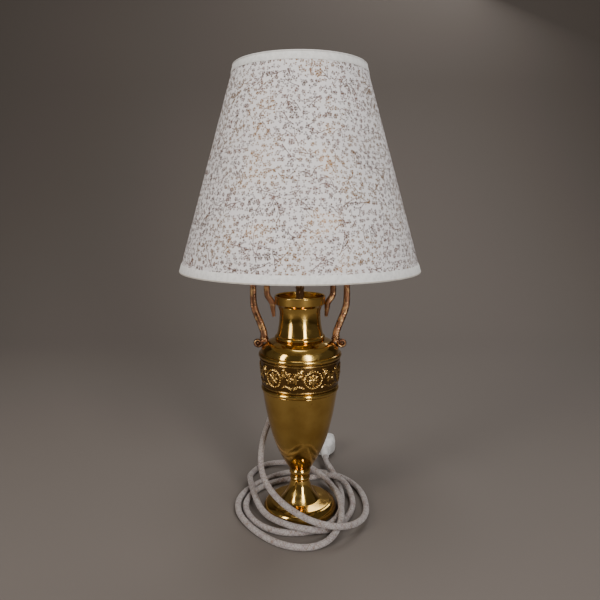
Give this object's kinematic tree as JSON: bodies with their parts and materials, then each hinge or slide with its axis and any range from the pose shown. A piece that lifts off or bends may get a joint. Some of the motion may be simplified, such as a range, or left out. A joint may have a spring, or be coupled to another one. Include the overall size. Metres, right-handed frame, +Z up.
{
  "type": "table lamp",
  "caption": "Table lamp with an urn-shaped brass body, looped handles, a tapered fabric shade and a long braided cord.",
  "frame": {"origin": "on the lamp's axis, at the level of the surface that it stands on", "axes": "+Z up; the handles lie along +X and -X; the cord leaves at the back, to the left, and its plug points along +Y"},
  "size_m": [0.299, 0.3635, 0.5676],
  "materials": {
    "felt": "matt pressed felt",
    "polished_brass": "polished and lacquered",
    "embossed_brass": "pressed relief, polished on its high points",
    "aged_brass": "cast, darkened",
    "plated_steel": "zinc plated",
    "weight_iron": "as cast",
    "holder_brass": "pressed sheet, lacquered",
    "white_ceramic": "unglazed porcelain",
    "switch_plastic": "moulded",
    "bulb_metal": "bare",
    "bulb_glass": "frosted",
    "wire_paint": "white powder coat",
    "printed_fabric": "printed cotton bonded to card",
    "band_fabric": "plain cotton tape",
    "cord_braid": "braided cover",
    "sleeve_rubber": "moulded",
    "plug_plastic": "moulded",
    "pin_metal": "nickel plated"
  },
  "bodies": {
    "lamp": {"felt_pad": "felt", "foot": "polished_brass", "knop": "polished_brass", "urn_bowl": "polished_brass", "lower_moulding": "polished_brass", "upper_moulding": "polished_brass", "shoulder": "polished_brass", "neck": "polished_brass", "mouth_collar": "polished_brass", "cord_outlet": "polished_brass", "frieze_band": "embossed_brass", "left_handle": "aged_brass", "right_handle": "aged_brass", "foot_washer": "plated_steel", "foot_nut": "plated_steel", "neck_plate": "plated_steel", "neck_nut": "plated_steel", "centre_rod": "plated_steel", "terminal_screws": "plated_steel", "foot_weight": "weight_iron", "stem_coupler": "holder_brass", "holder_cap": "holder_brass", "holder_skirt": "holder_brass", "screw_shell": "holder_brass", "centre_contact": "holder_brass", "holder_block": "white_ceramic", "braided_cord": "cord_braid", "cord_sleeve": "sleeve_rubber", "plug_sleeve": "sleeve_rubber", "plug_body": "plug_plastic", "plug_pins": "pin_metal"},
    "shade": {"shade_shell": "printed_fabric", "bottom_wire_ring": "wire_paint", "top_wire_ring": "wire_paint", "bottom_edge_band": "band_fabric", "top_edge_band": "band_fabric", "shade_carrier": "wire_paint"},
    "ring_nut": {"shade_ring_nut": "holder_brass"},
    "bulb": {"bulb_contact": "bulb_metal", "bulb_cap": "bulb_metal", "bulb_glass": "bulb_glass", "bulb_stem": "bulb_glass"},
    "switch": {"switch_bar": "switch_plastic"}
  },
  "joints": [
    {"name": "shade_turn", "type": "hinge", "parent": "lamp", "child": "shade", "pos_m": [0, 0, 0.3715], "axis": [0, 0, 1], "continuous": true},
    {"name": "ring_nut_turn", "type": "hinge", "parent": "lamp", "child": "ring_nut", "pos_m": [0, 0, 0.3786], "axis": [0, 0, 1], "continuous": true},
    {"name": "bulb_lift", "type": "slide", "parent": "lamp", "child": "bulb", "axis": [0, 0, 1], "range_m": [0, 0.03]},
    {"name": "switch_push", "type": "slide", "parent": "lamp", "child": "switch", "axis": [0, 1, 0], "range_m": [0, 0.006]}
  ]
}
